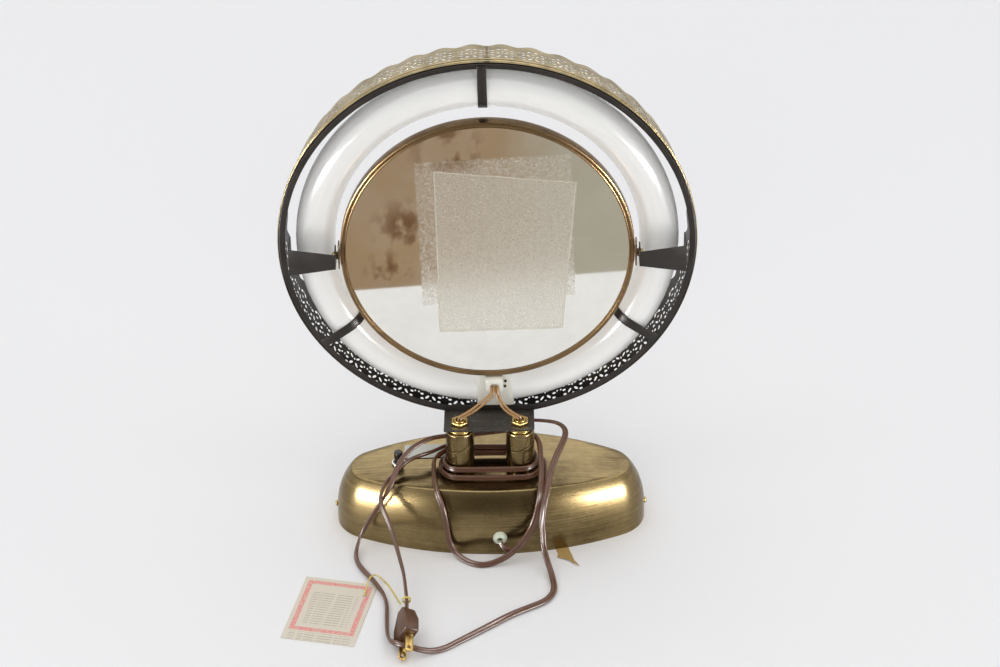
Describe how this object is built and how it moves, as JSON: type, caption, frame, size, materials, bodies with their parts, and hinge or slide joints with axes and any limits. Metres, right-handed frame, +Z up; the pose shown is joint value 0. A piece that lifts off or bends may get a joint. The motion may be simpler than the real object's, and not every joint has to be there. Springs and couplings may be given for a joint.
{
  "type": "lighted vanity mirror",
  "caption": "Round two-sided vanity mirror that tilts inside a ring lamp with a pierced brass gallery, on twin posts over an oval brass base with a push switch and a mains cord.",
  "frame": {"origin": "the middle of the base's footprint on the surface it stands on, without the free cord", "axes": "+X along the long base and across the mirror, +Y towards the user's side of the lamp, +Z up"},
  "size_m": [0.335, 0.2531, 0.4234],
  "materials": {
    "antique_brass": "brushed antique brass with a darkened patina",
    "bright_brass": "plain turned brass",
    "bronzed_metal": "dark bronze finish on sheet steel",
    "lamp_white": "white phosphor-coated glass",
    "ivory_plastic": "moulded ivory plastic",
    "mirror_trim": "darkened brass trim",
    "mirror_glass": "silvered glass",
    "fibreboard": "brown fibreboard",
    "ballast_iron": "rough casting",
    "plain_steel": "plain zinc-coated steel",
    "black_plastic": "moulded black plastic",
    "nickel": "nickel plate",
    "brown_vinyl": "reddish-brown vinyl flat twin flex",
    "plug_brown": "moulded brown plastic",
    "gold_lead": "gold-brown lead insulation",
    "paper": "thin cream card, blank",
    "yellow_string": "twisted yellow string"
  },
  "bodies": {
    "stand": {"arm_left": "bronzed_metal", "arm_right": "bronzed_metal", "ballast_core": "ballast_iron", "ballast_strap": "plain_steel", "base_nut_left": "plain_steel", "base_nut_right": "plain_steel", "base_shell": "antique_brass", "blank_label": "paper", "bottom_cover": "fibreboard", "bracket_plate": "bronzed_metal", "cord_bushing": "ivory_plastic", "cord_free_1": "brown_vinyl", "cord_free_2": "brown_vinyl", "cord_free_3": "brown_vinyl", "cord_start": "brown_vinyl", "cord_winding": "brown_vinyl", "gallery_band": "antique_brass", "hang_tag": "paper", "lamp_base": "ivory_plastic", "lamp_base_screw_1": "bronzed_metal", "lamp_base_screw_2": "bronzed_metal", "lamp_clip_left": "bronzed_metal", "lamp_clip_right": "bronzed_metal", "lamp_clip_top": "bronzed_metal", "lamp_connector": "ivory_plastic", "lamp_pin_1": "bright_brass", "lamp_pin_2": "bright_brass", "lamp_pin_3": "bright_brass", "lamp_pin_4": "bright_brass", "lamp_tube": "lamp_white", "lead_left_a": "gold_lead", "lead_left_b": "gold_lead", "lead_right_a": "gold_lead", "lead_right_b": "gold_lead", "nipple_left": "bright_brass", "nipple_right": "bright_brass", "pivot_screw_left": "bright_brass", "pivot_screw_right": "bright_brass", "plug_blade_lower": "bright_brass", "plug_blade_upper": "bright_brass", "plug_body": "plug_brown", "post_left": "antique_brass", "post_neck_left": "bright_brass", "post_neck_right": "bright_brass", "post_right": "antique_brass", "ring_hoop": "bronzed_metal", "side_screw_left": "bright_brass", "side_screw_right": "bright_brass", "switch_body": "black_plastic", "switch_collar": "nickel", "tag_string": "yellow_string", "top_nut_left": "bright_brass", "top_nut_right": "bright_brass"},
    "mirror": {"mirror_frame": "mirror_trim", "mirror_glass_front": "mirror_glass", "mirror_glass_rear": "mirror_glass", "mirror_spacer": "fibreboard", "pivot_ear_left": "mirror_trim", "pivot_ear_right": "mirror_trim"},
    "button": {"button_cap": "black_plastic"}
  },
  "joints": [
    {"name": "mirror_tilt", "type": "hinge", "parent": "stand", "child": "mirror", "pos_m": [0, 0.001, 0.2565], "axis": [1, 0, 0], "continuous": true},
    {"name": "button_press", "type": "slide", "parent": "stand", "child": "button", "axis": [0, 0, -1], "range_m": [0, 0.003], "stiffness_N_per_m": 400, "springref_m": -0.001}
  ]
}
